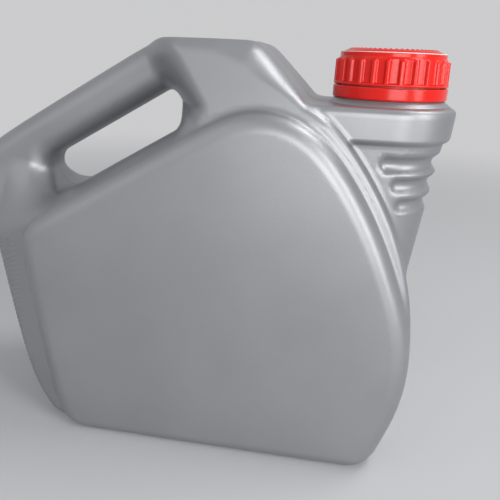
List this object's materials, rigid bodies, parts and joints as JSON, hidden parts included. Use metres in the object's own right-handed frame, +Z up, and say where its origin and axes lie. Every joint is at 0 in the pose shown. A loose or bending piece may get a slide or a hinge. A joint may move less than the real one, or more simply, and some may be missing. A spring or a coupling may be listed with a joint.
{
  "type": "oil jug",
  "caption": "Blow-moulded plastic oil jug with a hollow slanted handle, raised side panels, a ribbed spout and a fluted screw cap with a tamper ring.",
  "frame": {"origin": "middle of the jug's outline on the surface that it stands on", "axes": "+X towards the spout, +Y across the jug, +Z up"},
  "size_m": [0.2866, 0.115, 0.235],
  "materials": {
    "jug_plastic": "satin silver-grey",
    "closure_plastic": "gloss red",
    "liner_foam": "matt white"
  },
  "bodies": {
    "bottle": {"bottle": "jug_plastic", "tamper_ring": "closure_plastic"},
    "liner": {"seal_liner": "liner_foam"},
    "cap": {"screw_cap": "closure_plastic"}
  },
  "joints": [
    {"name": "cap_lift", "type": "slide", "parent": "bottle", "child": "liner", "axis": [0, 0, 1], "range_m": [0, 0.02475]},
    {"name": "cap_turn", "type": "hinge", "parent": "liner", "child": "cap", "pos_m": [0.1075, 0, 0.22], "axis": [0, 0, 1], "range_deg": [0, 1620]}
  ],
  "couplings": [
    {"joint": "cap_lift", "follows": "cap_turn", "m_per_rad": 0.00087535}
  ]
}
